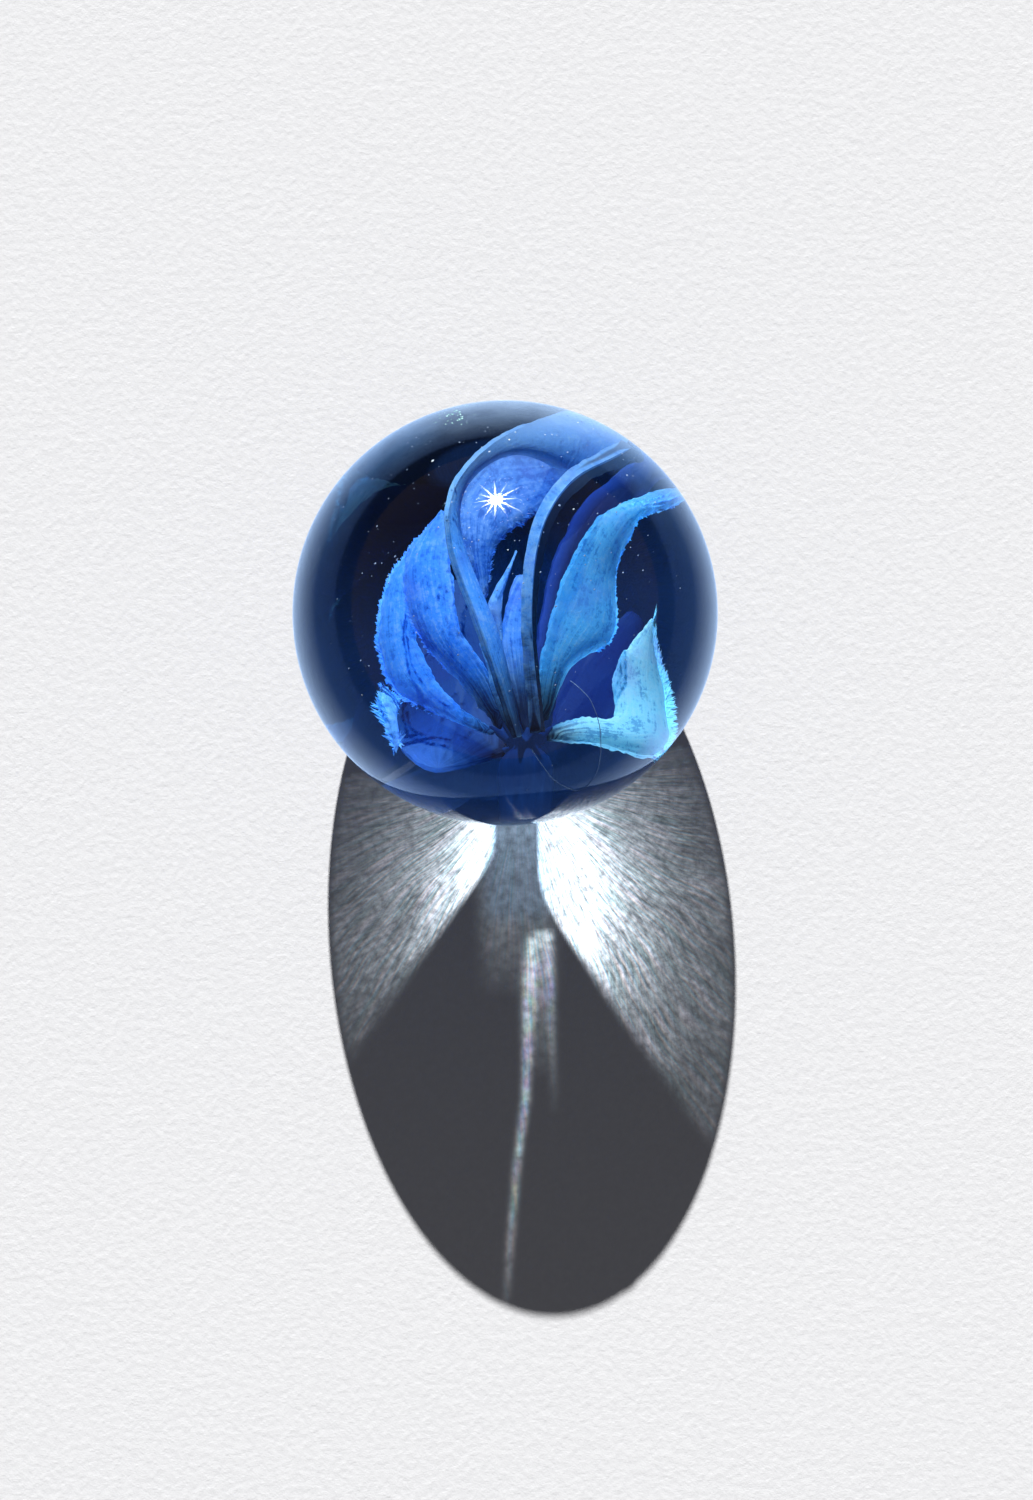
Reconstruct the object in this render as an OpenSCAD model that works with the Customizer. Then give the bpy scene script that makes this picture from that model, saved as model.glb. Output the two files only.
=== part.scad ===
// Glass marble: a clear ball with blue glass leaves sealed inside it.
// The leaves start together in front of a dark stem and fan out into the middle of the ball.
// Origin at the ball's centre, +Z up, -Y to the front, millimetres.

/* [Ball] */
// Diameter of the glass ball
ball_d = 25; // [20:0.5:50]

/* [Flower] */
// Size of the whole flower against its usual fit in the ball
flower_scale = 1; // [0.85:0.05:1.2]
// Thickness of a leaf along its middle
leaf_t = 0.35; // [0.25:0.05:0.55]
// Thickness of a leaf at its edges and ends
leaf_edge_t = 0.2; // [0.15:0.05:0.3]
// Thickness of the standing ribbon right of the middle
ribbon_t = 0.45; // [0.3:0.05:0.75]

/* [Stem] */
// Diameter of the stem behind the leaves
stem_d = 2.2; // [1.8:0.1:2.7]
// Clear glass between the stem and the point where the leaves meet
stem_gap = 0.35; // [0.3:0.05:0.6]
// Clear glass between the stem and the ball's surface
stem_cover = 1.5; // [1:0.1:2.5]

/* [Smoothness] */
// Steps along a leaf
leaf_steps = 16; // [8:1:18]
// Steps across a leaf
leaf_strips = 4; // [2:1:4]

/* [Hidden] */
$fn = 96;
// Sides the ball itself is rounded with
ball_fn = 192;

// Leaf edges are given in ball radii, so that the flower keeps its fit when the ball changes.
ball_r = ball_d / 2;
leaf_unit = ball_r * flower_scale;
// Where the leaves meet, in leaf units, and the way the stem points from there
leaf_root = [0.05, -0.37, -0.12];
stem_way = [0, -0.98, -0.16];

// A smooth curve through four neighbouring points, from p1 at t = 0 to p2 at t = 1
function spline(p0, p1, p2, p3, t) =
    0.5 * (2 * p1 + (p2 - p0) * t + (2 * p0 - 5 * p1 + 4 * p2 - p3) * t * t
        + (3 * p1 - p0 - 3 * p2 + p3) * t * t * t);

// The point at share v of the curve through all the points of a list
function along(points, v) =
    let (
        last = len(points) - 1,
        i = min(floor(v * last), last - 1),
        before = i == 0 ? 2 * points[0] - points[1] : points[i - 1],
        after = i + 1 == last ? 2 * points[last] - points[last - 1] : points[i + 2]
    )
    spline(before, points[i], points[i + 1], after, v * last - i);

// The middle surface of a leaf: s goes from one edge to the other and v from root to tip
function flat_point(edge_a, edge_b, s, v) = (1 - s) * along(edge_a, v) + s * along(edge_b, v);

function unit(a) = a / norm(a);

// The way the leaf faces at a share v of its length
function facing(edge_a, edge_b, v) =
    let (
        step = 0.02,
        across = along(edge_b, v) - along(edge_a, v),
        onward = flat_point(edge_a, edge_b, 0.5, min(v + step, 1))
            - flat_point(edge_a, edge_b, 0.5, max(v - step, 0))
    )
    unit(cross(across, onward));

// A leaf between two edges. bulge lifts its middle, as a share of its width there.
module leaf(edge_a, edge_b, bulge = 0.1, mid_t = leaf_t, edge_t = leaf_edge_t) {
    ring = leaf_strips + 1;
    rows = leaf_steps + 1;
    sheet = [
        for (side = [1, -1], i = [0 : leaf_steps], j = [0 : leaf_strips])
            let (
                v = i / leaf_steps,
                s = j / leaf_strips,
                crown = 4 * s * (1 - s),
                width = norm(along(edge_b, v) - along(edge_a, v)),
                half_t = (edge_t + (mid_t - edge_t) * crown) / 2
            )
            flat_point(edge_a, edge_b, s, v) * leaf_unit
                + facing(edge_a, edge_b, v) * (bulge * width * crown * leaf_unit + side * half_t)
    ];
    under = rows * ring;
    upper_faces = [
        for (i = [0 : leaf_steps - 1], j = [0 : leaf_strips - 1])
            let (a = i * ring + j)
            each [[a, a + ring + 1, a + 1], [a, a + ring, a + ring + 1]]
    ];
    // The points round the rim of the upper side, in order
    rim = concat(
        [for (j = [0 : leaf_strips]) j],
        [for (i = [1 : leaf_steps]) i * ring + leaf_strips],
        [for (j = [1 : leaf_strips]) leaf_steps * ring + leaf_strips - j],
        [for (i = [1 : leaf_steps - 1]) (leaf_steps - i) * ring]
    );
    rim_faces = [
        for (k = [0 : len(rim) - 1])
            let (a = rim[k], b = rim[(k + 1) % len(rim)])
            each [[a, b, b + under], [a, b + under, a + under]]
    ];
    under_faces = [for (f = upper_faces) [f[0] + under, f[2] + under, f[1] + under]];
    polyhedron(sheet, concat(upper_faces, rim_faces, under_faces));
}

module outer_left_leaf() {
    color("dodgerblue") leaf(
        [[-0.05, -0.34, -0.19], [-0.18, -0.26, -0.27], [-0.30, -0.16, -0.35],
            [-0.33, 0, -0.38], [-0.28, 0.15, -0.38], [-0.16, 0.30, -0.38]],
        [[-0.04, -0.33, -0.17], [-0.14, -0.25, -0.22], [-0.22, -0.12, -0.28],
            [-0.25, 0, -0.31], [-0.24, 0.15, -0.33], [-0.15, 0.29, -0.35]]);
}

module inner_left_leaf() {
    color("dodgerblue") leaf(
        [[-0.03, -0.34, -0.11], [-0.13, -0.20, -0.14], [-0.24, -0.06, -0.18],
            [-0.28, 0.06, -0.21], [-0.27, 0.19, -0.24], [-0.16, 0.31, -0.27]],
        [[-0.01, -0.32, -0.09], [-0.06, -0.17, -0.07], [-0.14, -0.04, -0.09],
            [-0.15, 0.07, -0.12], [-0.16, 0.17, -0.15], [-0.15, 0.29, -0.21]]);
}

module slim_left_leaf() {
    color("dodgerblue") leaf(
        [[0.01, -0.37, -0.05], [-0.03, -0.29, -0.01], [-0.06, -0.18, 0.02],
            [-0.09, -0.10, 0.03]],
        [[0.02, -0.37, -0.07], [-0.01, -0.27, -0.04], [-0.04, -0.17, -0.01],
            [-0.08, -0.09, 0.01]]);
}

module left_ribbon_leaf() {
    color("steelblue") leaf(
        [[0.02, -0.42, 0.03], [-0.08, -0.11, 0.17], [-0.19, 0.23, 0.18],
            [-0.16, 0.43, 0.12], [-0.03, 0.55, 0], [0.08, 0.57, -0.16],
            [0.15, 0.53, -0.36]],
        [[0.03, -0.40, -0.03], [-0.02, -0.09, 0.05], [-0.14, 0.23, 0.04],
            [-0.12, 0.41, -0.02], [0.03, 0.49, -0.12], [0.18, 0.41, -0.26],
            [0.28, 0.42, -0.42]]);
}

module right_ribbon_leaf() {
    color("deepskyblue") leaf(
        [[0.09, -0.40, 0.02], [0.07, -0.04, 0.18], [0.11, 0.26, 0.18], [0.22, 0.44, 0.08],
            [0.33, 0.47, -0.32]],
        [[0.10, -0.38, -0.04], [0.08, -0.03, 0.04], [0.13, 0.26, 0], [0.23, 0.40, -0.09],
            [0.32, 0.42, -0.38]],
        bulge = 0, mid_t = ribbon_t, edge_t = ribbon_t);
}

module throat_leaf() {
    color("royalblue") leaf(
        [[-0.07, 0.07, -0.20], [-0.11, 0.22, -0.23], [-0.12, 0.34, -0.29],
            [-0.02, 0.46, -0.38]],
        [[-0.05, 0.07, -0.20], [-0.02, 0.22, -0.24], [0.09, 0.30, -0.31],
            [0.19, 0.37, -0.42]]);
}

module spike_leaf() {
    color("deepskyblue") leaf(
        [[-0.02, -0.08, -0.08], [-0.05, 0.03, -0.06], [-0.01, 0.12, -0.07],
            [0.04, 0.20, -0.10]],
        [[-0.01, -0.07, -0.08], [-0.01, 0.04, -0.07], [0.02, 0.12, -0.09],
            [0.04, 0.19, -0.11]]);
}

module middle_leaf() {
    color("dodgerblue") leaf(
        [[0.05, -0.36, -0.14], [0, -0.15, -0.12], [-0.01, -0.02, -0.13],
            [0.04, 0.13, -0.18]],
        [[0.07, -0.36, -0.14], [0.07, -0.15, -0.14], [0.07, -0.03, -0.16],
            [0.07, 0.13, -0.20]]);
}

module big_right_leaf() {
    color("dodgerblue") leaf(
        [[0.09, -0.33, -0.10], [0.10, -0.19, -0.06], [0.14, -0.03, -0.05],
            [0.20, 0.15, -0.08], [0.29, 0.30, -0.18], [0.38, 0.33, -0.42]],
        [[0.12, -0.30, -0.13], [0.19, -0.15, -0.13], [0.31, -0.06, -0.20],
            [0.31, 0.13, -0.24], [0.36, 0.27, -0.30], [0.39, 0.28, -0.48]]);
}

module shaded_right_leaf() {
    color("midnightblue") leaf(
        [[0.08, -0.19, -0.22], [0.09, -0.03, -0.26], [0.13, 0.16, -0.33],
            [0.20, 0.31, -0.40], [0.28, 0.37, -0.50]],
        [[0.13, -0.19, -0.25], [0.19, -0.04, -0.31], [0.26, 0.18, -0.41],
            [0.31, 0.27, -0.46], [0.30, 0.31, -0.56]]);
}

module folded_right_leaf() {
    color("skyblue") leaf(
        [[0.11, -0.34, -0.16], [0.21, -0.29, -0.21], [0.30, -0.28, -0.26],
            [0.30, -0.16, -0.29], [0.33, -0.05, -0.32], [0.36, 0.02, -0.35]],
        [[0.12, -0.37, -0.16], [0.27, -0.37, -0.23], [0.42, -0.38, -0.35],
            [0.40, -0.21, -0.41], [0.38, -0.08, -0.40], [0.37, 0.02, -0.38]]);
}

module rear_right_leaf() {
    color("midnightblue") leaf(
        [[0.12, -0.30, -0.27], [0.15, -0.12, -0.36], [0.23, -0.03, -0.42],
            [0.30, 0.05, -0.50]],
        [[0.15, -0.32, -0.26], [0.28, -0.29, -0.35], [0.32, -0.15, -0.46],
            [0.32, 0.01, -0.53]]);
}

module lower_left_leaf() {
    color("mediumblue") leaf(
        [[-0.01, -0.39, -0.22], [-0.20, -0.41, -0.29], [-0.28, -0.28, -0.42],
            [-0.26, -0.06, -0.51], [-0.16, 0.11, -0.57]],
        [[0, -0.32, -0.27], [-0.02, -0.21, -0.33], [-0.04, -0.07, -0.41],
            [-0.07, 0.03, -0.47], [-0.10, 0.14, -0.55]]);
}

module side_sliver() {
    color("deepskyblue") leaf(
        [[-0.31, -0.33, -0.32], [-0.33, -0.24, -0.34], [-0.34, -0.18, -0.37],
            [-0.31, -0.13, -0.42]],
        [[-0.30, -0.32, -0.33], [-0.30, -0.24, -0.36], [-0.29, -0.18, -0.39],
            [-0.28, -0.13, -0.43]]);
}

// A rod with round ends, from near the point where the leaves meet to near the ball's surface
module stem() {
    way = unit(stem_way);
    tilt = acos(way[2]);
    turn = atan2(way[1], way[0]);
    end_r = stem_d / 2;
    first = leaf_root * leaf_unit + way * (stem_gap + end_r);
    // The far end stops where its round tip is stem_cover below the surface.
    reach = ball_r - stem_cover - end_r;
    along_way = first * way;
    length = sqrt(along_way * along_way + reach * reach - first * first) - along_way;
    color("midnightblue") translate(first) rotate([0, tilt, turn]) {
        sphere(r = end_r);
        cylinder(r = end_r, h = length);
        translate([0, 0, length]) sphere(r = end_r);
    }
}

// The clear ball, with a closed hollow of the exact shape of each leaf and of the stem
module glass_body() {
    color("lightsteelblue", 0.35) difference() {
        sphere(d = ball_d, $fn = ball_fn);
        outer_left_leaf();
        inner_left_leaf();
        slim_left_leaf();
        left_ribbon_leaf();
        right_ribbon_leaf();
        throat_leaf();
        spike_leaf();
        middle_leaf();
        big_right_leaf();
        shaded_right_leaf();
        folded_right_leaf();
        rear_right_leaf();
        lower_left_leaf();
        side_sliver();
        stem();
    }
}

glass_body();
outer_left_leaf();
inner_left_leaf();
slim_left_leaf();
left_ribbon_leaf();
right_ribbon_leaf();
throat_leaf();
spike_leaf();
middle_leaf();
big_right_leaf();
shaded_right_leaf();
folded_right_leaf();
rear_right_leaf();
lower_left_leaf();
side_sliver();
stem();
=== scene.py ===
import math

import bmesh
import bpy
import numpy as np
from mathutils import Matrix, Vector, noise


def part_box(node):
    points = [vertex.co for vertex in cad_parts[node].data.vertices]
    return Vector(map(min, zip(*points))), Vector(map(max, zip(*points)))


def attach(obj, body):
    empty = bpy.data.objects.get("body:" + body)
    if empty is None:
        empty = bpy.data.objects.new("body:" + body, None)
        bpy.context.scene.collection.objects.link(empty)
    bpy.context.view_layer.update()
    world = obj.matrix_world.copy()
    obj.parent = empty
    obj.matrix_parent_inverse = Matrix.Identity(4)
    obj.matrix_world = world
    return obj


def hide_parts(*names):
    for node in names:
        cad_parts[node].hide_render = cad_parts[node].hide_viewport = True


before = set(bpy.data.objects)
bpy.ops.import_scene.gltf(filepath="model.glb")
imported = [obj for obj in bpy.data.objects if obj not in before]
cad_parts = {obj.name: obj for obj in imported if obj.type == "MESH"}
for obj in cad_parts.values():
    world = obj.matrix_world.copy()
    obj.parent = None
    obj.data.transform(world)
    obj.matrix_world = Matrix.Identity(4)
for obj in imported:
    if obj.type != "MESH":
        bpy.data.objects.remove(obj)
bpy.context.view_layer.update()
scene = bpy.context.scene
scene.view_settings.view_transform = "Standard"

low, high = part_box("glass_body")
R = (high.x - low.x) / 2
MID = (low + high) / 2
IOR = 1.5
TO_SUN = Vector((-0.047, 0.837, 0.545)).normalized()
ROOT = MID + Vector((0.05, -0.37, -0.12)) * R
SUN_STRENGTH = 5.6
SUN_WIDTH = math.radians(0.55)
NAVY = ("shaded_right_leaf", "rear_right_leaf", "lower_left_leaf", "stem")


# ---------------------------------------------------------------- materials
class Tree:
    """A material's or world's node tree, with short ways to add and join nodes."""

    def __init__(self, owner):
        owner.use_nodes = True
        self.nt = owner.node_tree
        self.nt.nodes.clear()

    def add(self, kind, **values):
        node = self.nt.nodes.new(kind)
        for key, value in values.items():
            if hasattr(node, key):
                setattr(node, key, value)
        return node

    def put(self, node, name, value):
        """Sets a socket to a value, or links it when value is a socket."""
        socket = node.inputs[name]
        if isinstance(value, bpy.types.NodeSocket):
            self.nt.links.new(value, socket)
        else:
            socket.default_value = value
        return node

    def math(self, op, a, b=0.0):
        node = self.add("ShaderNodeMath", operation=op)
        self.put(node, 0, a)
        self.put(node, 1, b)
        return node.outputs[0]

    def vmath(self, op, a, b=None):
        node = self.add("ShaderNodeVectorMath", operation=op)
        self.put(node, 0, a)
        if b is not None:
            self.put(node, 1, b)
        return node.outputs["Value"] if op in ("LENGTH", "DOT_PRODUCT", "DISTANCE") else node.outputs[0]

    def ramp(self, value, *stops):
        node = self.add("ShaderNodeValToRGB")
        self.put(node, 0, value)
        bar = node.color_ramp.elements
        while len(bar) < len(stops):
            bar.new(0.5)
        for e, (at, colour) in zip(bar, stops):
            e.position = at
            e.color = (*colour, 1) if isinstance(colour, tuple) else (colour,) * 3 + (1,)
        return node.outputs[0]

    def span(self, value, a, b, c=0.0, d=1.0):
        node = self.add("ShaderNodeMapRange", clamp=True)
        for name, x in zip(("Value", "From Min", "From Max", "To Min", "To Max"), (value, a, b, c, d)):
            self.put(node, name, x)
        return node.outputs["Result"]

    def noise(self, where, scale, detail=3.0, rough=0.55):
        node = self.add("ShaderNodeTexNoise")
        self.put(node, "Vector", where)
        self.put(node, "Scale", scale)
        self.put(node, "Detail", detail)
        self.put(node, "Roughness", rough)
        return node.outputs[0]

    def blend(self, factor, a, b):
        node = self.add("ShaderNodeMix", data_type="RGBA")
        for i, x in ((0, factor), (6, a), (7, b)):
            if isinstance(x, bpy.types.NodeSocket):
                self.nt.links.new(x, node.inputs[i])
            else:
                node.inputs[i].default_value = (*x, 1) if isinstance(x, tuple) else x
        return node.outputs[2]

    def mix(self, factor, a, b):
        node = self.add("ShaderNodeMixShader")
        self.put(node, 0, factor)
        self.nt.links.new(a, node.inputs[1])
        self.nt.links.new(b, node.inputs[2])
        return node.outputs[0]


def material(name):
    """A new material, and its tree with an output node."""
    m = bpy.data.materials.new(name)
    t = Tree(m)
    t.out = t.add("ShaderNodeOutputMaterial")
    return m, t


def clear_glass():
    """Clear glass that the sun lights the flower through, but not the floor."""
    m, t = material("clear_glass")
    glass = t.add("ShaderNodeBsdfGlass")
    t.put(glass, "IOR", IOR)
    t.put(glass, "Roughness", 0.0)
    t.put(glass, "Color", (1, 1, 1, 1))
    where = t.add("ShaderNodeTexCoord").outputs["Object"]
    # a thin patchy haze of handling and dust
    veil = t.noise(where, 260, 5, 0.65)
    patch = t.noise(where, 95, 2, 0.5)
    veil = t.math("MULTIPLY", t.span(veil, 0.55, 0.75), t.span(patch, 0.5, 0.7))
    bloom = t.add("ShaderNodeBsdfDiffuse")
    split = t.add("ShaderNodeSeparateXYZ")
    t.put(split, 0, where)
    # painted light: a diffuse blue veil laid only on the ball's sunny edge, strongest and greyest at the top,
    # paints the light seen there along with sunlit haze
    flat = t.vmath("LENGTH", t.vmath("MULTIPLY", where, (1, 1, 0)))
    sunny = t.math("MULTIPLY", t.span(flat, 0.74 * R, 0.97 * R), t.span(split.outputs[1], 0.10 * R, 0.55 * R))
    off_top = t.math("ABSOLUTE", t.math("SUBTRACT", split.outputs[0], 0.08 * R))
    sunny = t.math("MULTIPLY", sunny, t.span(off_top, 0.25 * R, 0.80 * R, 1.0, 0.35))
    near_middle = t.span(off_top, 0.30 * R, 0.60 * R, 1.0, 0.0)
    at_top = t.math("MULTIPLY", near_middle, t.span(split.outputs[1], 0.60 * R, 0.80 * R))
    t.put(bloom, "Color", t.blend(at_top, (0.21, 0.49, 1.0), (0.42, 0.62, 0.90)))
    sunny = t.math("MULTIPLY", sunny, t.span(t.noise(where, 420, 5, 0.6), 0.3, 0.7, 0.12, 0.30))
    # the handling haze everywhere, plus the painted sheen on the sunny edge
    dust_and_sheen = t.math("ADD", t.math("MULTIPLY", veil, 0.05), sunny)
    seen = t.mix(dust_and_sheen, glass.outputs[0], bloom.outputs[0])
    path = t.add("ShaderNodeLightPath")
    side = t.add("ShaderNodeNewGeometry")
    stop = t.add("ShaderNodeBsdfTransparent")
    t.put(stop, 0, (0, 0, 0, 1))
    free = t.add("ShaderNodeBsdfTransparent")
    through = t.mix(side.outputs["Backfacing"], stop.outputs[0], free.outputs[0])
    # light that has already met a matt surface goes straight through, as the floor's own pattern
    # stands for what the glass would bend
    straight = t.add("ShaderNodeBsdfTransparent")
    t.put(straight, 0, (0.40, 0.58, 0.74, 1))
    seen = t.mix(t.math("GREATER_THAN", path.outputs["Diffuse Depth"], 0.5), seen, straight.outputs[0])
    t.nt.links.new(t.mix(path.outputs["Is Shadow Ray"], seen, through), t.out.inputs["Surface"])
    tint = t.add("ShaderNodeVolumeAbsorption")
    t.put(tint, "Color", (0.45, 0.62, 0.95, 1))
    t.put(tint, "Density", 22.0)
    t.nt.links.new(tint.outputs[0], t.out.inputs["Volume"])
    return m


def leaf_glass(name, body, through, mottle, dark, side):
    """Thin coloured glass: blotches and streaks along the leaf, pale edges worn in patches that also paint
    caught light, and a root painted dark with shade.

    dark is how far from the root the painted shade starts and ends, in ball radii. side is one of
    the treatments named above LOOK."""
    m, t = material(name)
    where = t.add("ShaderNodeTexCoord").outputs["Object"]
    path = t.add("ShaderNodeLightPath")
    edge = t.add("ShaderNodeAttribute", attribute_name="edge").outputs["Fac"]
    across = t.add("ShaderNodeAttribute", attribute_name="across").outputs["Fac"]
    far = t.math("DIVIDE", t.vmath("LENGTH", t.vmath("SUBTRACT", where, tuple(ROOT))), R)
    split = t.add("ShaderNodeSeparateXYZ")
    t.put(split, 0, where)
    grainwise = t.add("ShaderNodeCombineXYZ")
    t.put(grainwise, 0, t.math("MULTIPLY", across, 13.0))
    t.put(grainwise, 1, t.math("MULTIPLY", far, 3.2))
    t.put(grainwise, 2, float(sum(map(ord, name)) % 17))
    streak = t.noise(grainwise.outputs[0], 1.0, 4, 0.6)
    blotch = t.noise(where, 1500, 4, 0.62)
    fine = t.noise(where, 6500, 3, 0.7)
    level = t.math("ADD", t.math("MULTIPLY", streak, 0.34), t.math("MULTIPLY", blotch, 0.38))
    level = t.math("ADD", level, t.math("MULTIPLY", fine, 0.28))
    spread = 0.038 / mottle
    deep = tuple(c * k for c, k in zip(body, (0.45, 0.58, 0.74)))
    pale = tuple(min(1.0, c + (1 - c) * k * body[2] ** 2) for c, k in zip(body, (0.16, 0.28, 0.40)))
    level_wide = t.span(level, 0.5 - spread * 2, 0.5 + spread * 2)
    colour = t.ramp(level_wide, (0.0, deep), (0.38, body), (0.60, body), (1.0, pale))
    # patches with a purple cast
    cast = tuple(c * k for c, k in zip(body, (1.1, 0.66, 0.88)))
    colour = t.blend(t.span(t.noise(where, 620, 3, 0.5), 0.50, 0.66, 0.0, 0.5), colour, cast)
    # pale rims, patchy like wear, which also paint light caught on the edges; 'rim' paints shade all round
    # and 'glow' a highlight all round
    wear_and_edge_light = 0.8 if side == "glow" else t.span(t.noise(where, 2600, 4, 0.7), 0.42, 0.60, 0.0, 0.9)
    painted_rims = {"rim": tuple(c * 0.4 for c in body), "glow": tuple(c * 3.5 for c in body)}
    colour = t.blend(t.math("MULTIPLY", edge, wear_and_edge_light), colour, painted_rims.get(side, pale))
    # painted shade: a dark blue for the shaded line, side and root of a leaf
    painted_shade_blue = (0.003, 0.012, 0.06)
    if side == "left":
        # painted shade: a dark line along the ribbon's left edge, fading out toward the back
        line = t.span(across, 0.035, 0.085, 1.0, 0.0)
        in_front = t.span(split.outputs[1], 0.25 * R, 0.42 * R, 0.45, 0.0)
        line = t.math("MULTIPLY", line, in_front)
        colour = t.blend(line, colour, painted_shade_blue)
    if side == "right":
        # painted shade: the ribbon's right side is painted dark
        colour = t.blend(t.span(across, 0.12, 0.20, 0.0, 0.92), colour, painted_shade_blue)
    # painted reflection: the ends by the ball's far edge are veiled toward grey-blue, standing for the
    # glass's reflection and haze over them
    colour = t.blend(t.span(split.outputs[1], 0.34 * R, 0.56 * R, 0.0, 0.7), colour, (0.19, 0.32, 0.50))
    if side == "lifted":
        lighter = tuple(min(1.0, c * 2.3) for c in body)
        colour = t.blend(t.span(split.outputs[1], -0.20 * R, -0.34 * R), colour, lighter)
    # painted shade: the root is drawn out dark where the leaves meet, its edge ragged along the streaks
    ragged_far = t.math("ADD", far, t.math("MULTIPLY", t.math("SUBTRACT", streak, 0.5), 0.25))
    colour = t.blend(t.span(ragged_far, dark[0], dark[1], 0.94, 0.0), colour, painted_shade_blue)
    face = t.add("ShaderNodeBsdfPrincipled")
    t.put(face, "Base Color", colour)
    t.put(face, "Roughness", 0.62)
    t.put(face, "Specular IOR Level", 0.10)
    bump = t.add("ShaderNodeBump")
    t.put(bump, "Height", level)
    t.put(bump, "Strength", 0.8)
    t.put(bump, "Distance", 0.00008)
    t.nt.links.new(bump.outputs[0], face.inputs["Normal"])
    lit = t.add("ShaderNodeBsdfTranslucent")
    t.put(lit, "Color", colour)
    # a leaf lets some blue light on to those behind it
    pass_on = t.add("ShaderNodeBsdfTransparent")
    t.put(pass_on, 0, (0.72, 0.83, 0.92, 1))
    seen = t.mix(through, face.outputs[0], lit.outputs[0])
    t.nt.links.new(t.mix(path.outputs["Is Shadow Ray"], seen, pass_on.outputs[0]), t.out.inputs["Surface"])
    return m


def plain(name, colour, other, scale, rough=0.8):
    """A matt material in two shades."""
    m, t = material(name)
    where = t.add("ShaderNodeTexCoord").outputs["Object"]
    face = t.add("ShaderNodeBsdfPrincipled")
    t.put(face, "Base Color", t.ramp(t.noise(where, scale, 3), (0.35, colour), (0.65, other)))
    t.put(face, "Roughness", rough)
    t.put(face, "Specular IOR Level", 0.2)
    t.nt.links.new(face.outputs[0], t.out.inputs["Surface"])
    return m


# ------------------------------------------------------------------- pieces
def add_piece(name, mesh, slot, *nodes):
    """Puts a mesh in the scene as a piece of the part. nodes are the CAD nodes it stands for."""
    obj = bpy.data.objects.new(name, mesh)
    scene.collection.objects.link(obj)
    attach(obj, "root")
    if nodes:
        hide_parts(*nodes)
    return obj


def smooth(mesh):
    for f in mesh.polygons:
        f.use_smooth = True


def shell():
    """The ball's surface."""
    just_inside = 0.9995
    bm = bmesh.new()
    bmesh.ops.create_icosphere(bm, subdivisions=7, radius=R * just_inside)
    bmesh.ops.translate(bm, verts=bm.verts, vec=MID)
    mesh = bpy.data.meshes.new("glass_shell")
    bm.to_mesh(mesh)
    bm.free()
    smooth(mesh)
    mesh.materials.append(clear_glass())
    return add_piece("glass_shell", mesh, "clear_glass", "glass_body")


def welded(node):
    """A copy of the node's mesh in which corners that meet are one vertex."""
    bm = bmesh.new()
    bm.from_mesh(node.data)
    bmesh.ops.remove_doubles(bm, verts=bm.verts, dist=R * 4e-5)
    bm.normal_update()
    return bm


def refined(bm, levels):
    """The CAD leaf's own surface, divided, with its rim kept crisp."""
    bmesh.ops.join_triangles(bm, faces=bm.faces, angle_face_threshold=0.9, angle_shape_threshold=3.1)
    crease = bm.edges.layers.float.new("crease_edge")
    for e in bm.edges:
        if len(e.link_faces) == 2 and e.calc_face_angle(0) > math.radians(50):
            e[crease] = 1.0
            e.smooth = False
    mesh = bpy.data.meshes.new("work")
    bm.to_mesh(mesh)
    obj = bpy.data.objects.new("work", mesh)
    scene.collection.objects.link(obj)
    sub = obj.modifiers.new("sub", "SUBSURF")
    sub.levels = sub.render_levels = levels
    sub.subdivision_type = "CATMULL_CLARK"
    made = bpy.data.meshes.new_from_object(obj.evaluated_get(bpy.context.evaluated_depsgraph_get()))
    bpy.data.objects.remove(obj)
    return made


def rim_edges(bm):
    """The leaf's sharp rim edges: both ends, and the way out of the leaf there."""
    every = np.array([v.co for v in bm.verts])
    a, b, out = [], [], []
    for e in bm.edges:
        if len(e.link_faces) == 2 and e.calc_face_angle(0) > math.radians(50):
            p, q = np.array(e.verts[0].co), np.array(e.verts[1].co)
            mid, run = (p + q) / 2, (q - p) / np.linalg.norm(q - p)
            near = every[np.linalg.norm(every - mid, axis=1) < 0.13 * R].mean(0)
            way = mid - near
            way -= run * (way @ run)
            a.append(p)
            b.append(q)
            out.append(way / max(np.linalg.norm(way), 1e-9))
    return np.array(a), np.array(b), np.array(out)


def points(mesh):
    co = np.zeros(len(mesh.vertices) * 3)
    mesh.vertices.foreach_get("co", co)
    return co.reshape(-1, 3)


def mark(mesh, name, values):
    """Gives each vertex a number that the material reads."""
    mesh.attributes.new(name, "FLOAT", "POINT").data.foreach_set("value", values.astype(np.float32))


def to_edges(co, a, b):
    """How far each point is from each edge a-b."""
    ab = b - a
    t = np.clip(((co[:, None] - a) * ab).sum(2) / (ab * ab).sum(1), 0, 1)
    return np.linalg.norm(co[:, None] - (a + t[..., None] * ab), axis=2)


def sharpen(co, length):
    """Draws the end of a leaf that is farthest from the root out to a point."""
    far = np.linalg.norm(co - np.array(ROOT), axis=1)
    tip = co[far > far.max() - 0.012 * R].mean(0)
    d = np.linalg.norm(co - tip, axis=1)
    base = co[(d > length * 0.9) & (d < length * 1.1)].mean(0)
    axis = (tip - base) / np.linalg.norm(tip - base)
    for i in np.nonzero(d < length)[0]:
        back = (co[i] - tip) @ axis
        on_axis = tip + axis * back
        co[i] = on_axis + (co[i] - on_axis) * max(0.2, min(1.0, -back / length)) ** 0.8


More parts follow.
